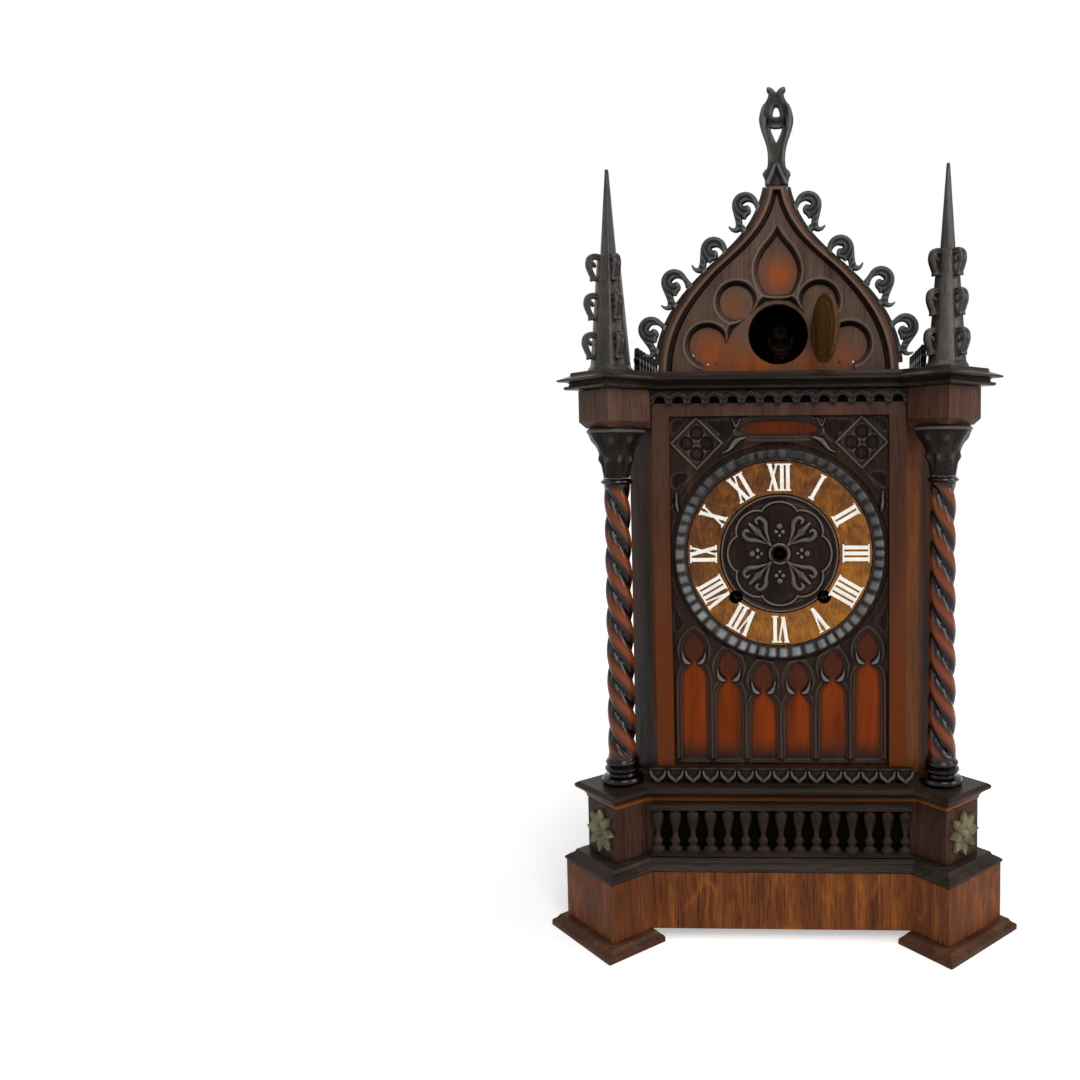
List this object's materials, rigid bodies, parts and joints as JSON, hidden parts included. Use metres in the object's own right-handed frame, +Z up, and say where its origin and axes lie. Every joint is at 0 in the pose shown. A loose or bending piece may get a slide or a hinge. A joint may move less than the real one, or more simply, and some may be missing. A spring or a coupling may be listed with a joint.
{
  "type": "mantel cuckoo clock",
  "caption": "Carved Gothic mantel cuckoo clock on a stepped base, with twisted columns, an ogee gable with a bird door, spires, and a going and strike movement inside.",
  "frame": {"origin": "bottom centre of the whole clock, on the plane of the feet", "axes": "+X to the right as seen from the front, +Y to the back, +Z up; the dial faces -Y"},
  "size_m": [0.394, 0.214, 0.69],
  "materials": {
    "dark_oak": "dark stained and waxed, worn on the edges",
    "oak": "stained oak with ray figure, waxed",
    "burr_walnut": "figured veneer, polished",
    "pale_wood": "bare wood",
    "painted_wood": "carved and painted",
    "gilt": "dull gilt",
    "brass": "brushed brass",
    "steel": "brushed steel"
  },
  "bodies": {
    "case": {"foot_front_left": "dark_oak", "foot_front_right": "dark_oak", "foot_rear_left": "dark_oak", "foot_rear_right": "dark_oak", "base_plinth": "oak", "base_moulding": "dark_oak", "pedestal_stage": "dark_oak", "pedestal_ledge": "dark_oak", "balustrade": "dark_oak", "rosette_left": "gilt", "rosette_right": "gilt", "dagger_trim": "dark_oak", "column_left": "dark_oak", "column_right": "dark_oak", "capital_left": "dark_oak", "capital_right": "dark_oak", "case_carcase": "dark_oak", "front_frame": "dark_oak", "frieze_block_left": "dark_oak", "frieze_block_right": "dark_oak", "tracery_panel": "oak", "dial_bezel": "dark_oak", "chapter_ring": "burr_walnut", "dial_centre": "dark_oak", "cornice": "dark_oak", "scallop_trim": "dark_oak", "cresting_left": "dark_oak", "cresting_right": "dark_oak", "spire_left": "dark_oak", "spire_right": "dark_oak", "gable_hood": "dark_oak", "gable_tracery": "dark_oak", "gable_board": "oak", "gable_roof": "dark_oak", "finial": "dark_oak", "crockets_right": "dark_oak", "crockets_left": "dark_oak", "guide_rail": "pale_wood", "pipe_left": "pale_wood", "pipe_right": "pale_wood", "front_plate": "brass", "back_plate": "brass", "gong": "steel"},
    "bird_door": {"bird_door": "oak"},
    "back_door": {"back_door": "pale_wood"},
    "turn_button": {"turn_button": "brass"},
    "cuckoo_bird": {"cuckoo_bird": "painted_wood"},
    "bellows_lid_left": {"bellows_lid_left": "pale_wood"},
    "bellows_lid_right": {"bellows_lid_right": "pale_wood"},
    "time_barrel": {"time_barrel": "brass"},
    "strike_barrel": {"strike_barrel": "brass"},
    "time_winding_arbor": {"time_winding_arbor": "steel"},
    "strike_winding_arbor": {"strike_winding_arbor": "steel"},
    "centre_arbor": {"centre_arbor": "brass"},
    "third_arbor": {"third_arbor": "brass"},
    "escape_arbor": {"escape_arbor": "brass"},
    "verge": {"verge": "steel"},
    "pendulum": {"pendulum": "brass"},
    "strike_arbor": {"strike_arbor": "brass"},
    "hammer": {"hammer": "steel"}
  },
  "joints": [
    {"name": "bird_door_hinge", "type": "hinge", "parent": "case", "child": "bird_door", "pos_m": [0.0287, -0.0357, 0.4965], "axis": [0, 0, 1], "range_deg": [-110, 15]},
    {"name": "bird_slide", "type": "slide", "parent": "case", "child": "cuckoo_bird", "axis": [0, -1, 0], "range_m": [0, 0.083]},
    {"name": "back_door_hinge", "type": "hinge", "parent": "case", "child": "back_door", "pos_m": [-0.114, 0.1009, 0.28975], "axis": [0, 0, 1], "range_deg": [0, 110]},
    {"name": "turn_button_pivot", "type": "hinge", "parent": "case", "child": "turn_button", "pos_m": [0.116, 0.1, 0.28975], "axis": [0, 1, 0], "range_deg": [0, 90]},
    {"name": "pendulum_swing", "type": "hinge", "parent": "case", "child": "pendulum", "pos_m": [0, 0.044, 0.3862], "axis": [0, 1, 0], "range_deg": [-6, 6]},
    {"name": "verge_rock", "type": "hinge", "parent": "case", "child": "verge", "pos_m": [0, 0.044, 0.3862], "axis": [0, 1, 0], "range_deg": [-6, 6]},
    {"name": "third_spin", "type": "hinge", "parent": "case", "child": "third_arbor", "pos_m": [0, 0, 0.3422], "axis": [0, 1, 0], "continuous": true},
    {"name": "centre_spin", "type": "hinge", "parent": "case", "child": "centre_arbor", "pos_m": [0, 0, 0.317], "axis": [0, 1, 0], "continuous": true},
    {"name": "time_barrel_spin", "type": "hinge", "parent": "case", "child": "time_barrel", "pos_m": [-0.0365, 0, 0.281], "axis": [0, 1, 0], "continuous": true},
    {"name": "escape_spin", "type": "hinge", "parent": "case", "child": "escape_arbor", "pos_m": [0, 0, 0.3642], "axis": [0, 1, 0], "continuous": true},
    {"name": "strike_spin", "type": "hinge", "parent": "case", "child": "strike_arbor", "pos_m": [0.0365, 0, 0.33227], "axis": [0, 1, 0], "continuous": true},
    {"name": "strike_barrel_spin", "type": "hinge", "parent": "case", "child": "strike_barrel", "pos_m": [0.0365, 0, 0.281], "axis": [0, 1, 0], "continuous": true},
    {"name": "time_winding", "type": "hinge", "parent": "case", "child": "time_winding_arbor", "pos_m": [-0.0365, 0, 0.281], "axis": [0, 1, 0], "continuous": true},
    {"name": "strike_winding", "type": "hinge", "parent": "case", "child": "strike_winding_arbor", "pos_m": [0.0365, 0, 0.281], "axis": [0, 1, 0], "continuous": true},
    {"name": "hammer_swing", "type": "hinge", "parent": "case", "child": "hammer", "pos_m": [0.072, 0.041, 0.335], "axis": [0, 1, 0], "range_deg": [-9, 2.8]},
    {"name": "bellows_left_lift", "type": "hinge", "parent": "case", "child": "bellows_lid_left", "pos_m": [-0.0967, 0.084, 0.4123], "axis": [-1, 0, 0], "range_deg": [0, 12]},
    {"name": "bellows_right_lift", "type": "hinge", "parent": "case", "child": "bellows_lid_right", "pos_m": [0.0967, 0.084, 0.4123], "axis": [-1, 0, 0], "range_deg": [0, 12]}
  ],
  "couplings": [
    {"joint": "verge_rock", "follows": "pendulum_swing", "ratio": 1},
    {"joint": "centre_spin", "follows": "time_barrel_spin", "ratio": -4},
    {"joint": "third_spin", "follows": "time_barrel_spin", "ratio": 20},
    {"joint": "escape_spin", "follows": "time_barrel_spin", "ratio": -90},
    {"joint": "strike_spin", "follows": "strike_barrel_spin", "ratio": -4}
  ]
}
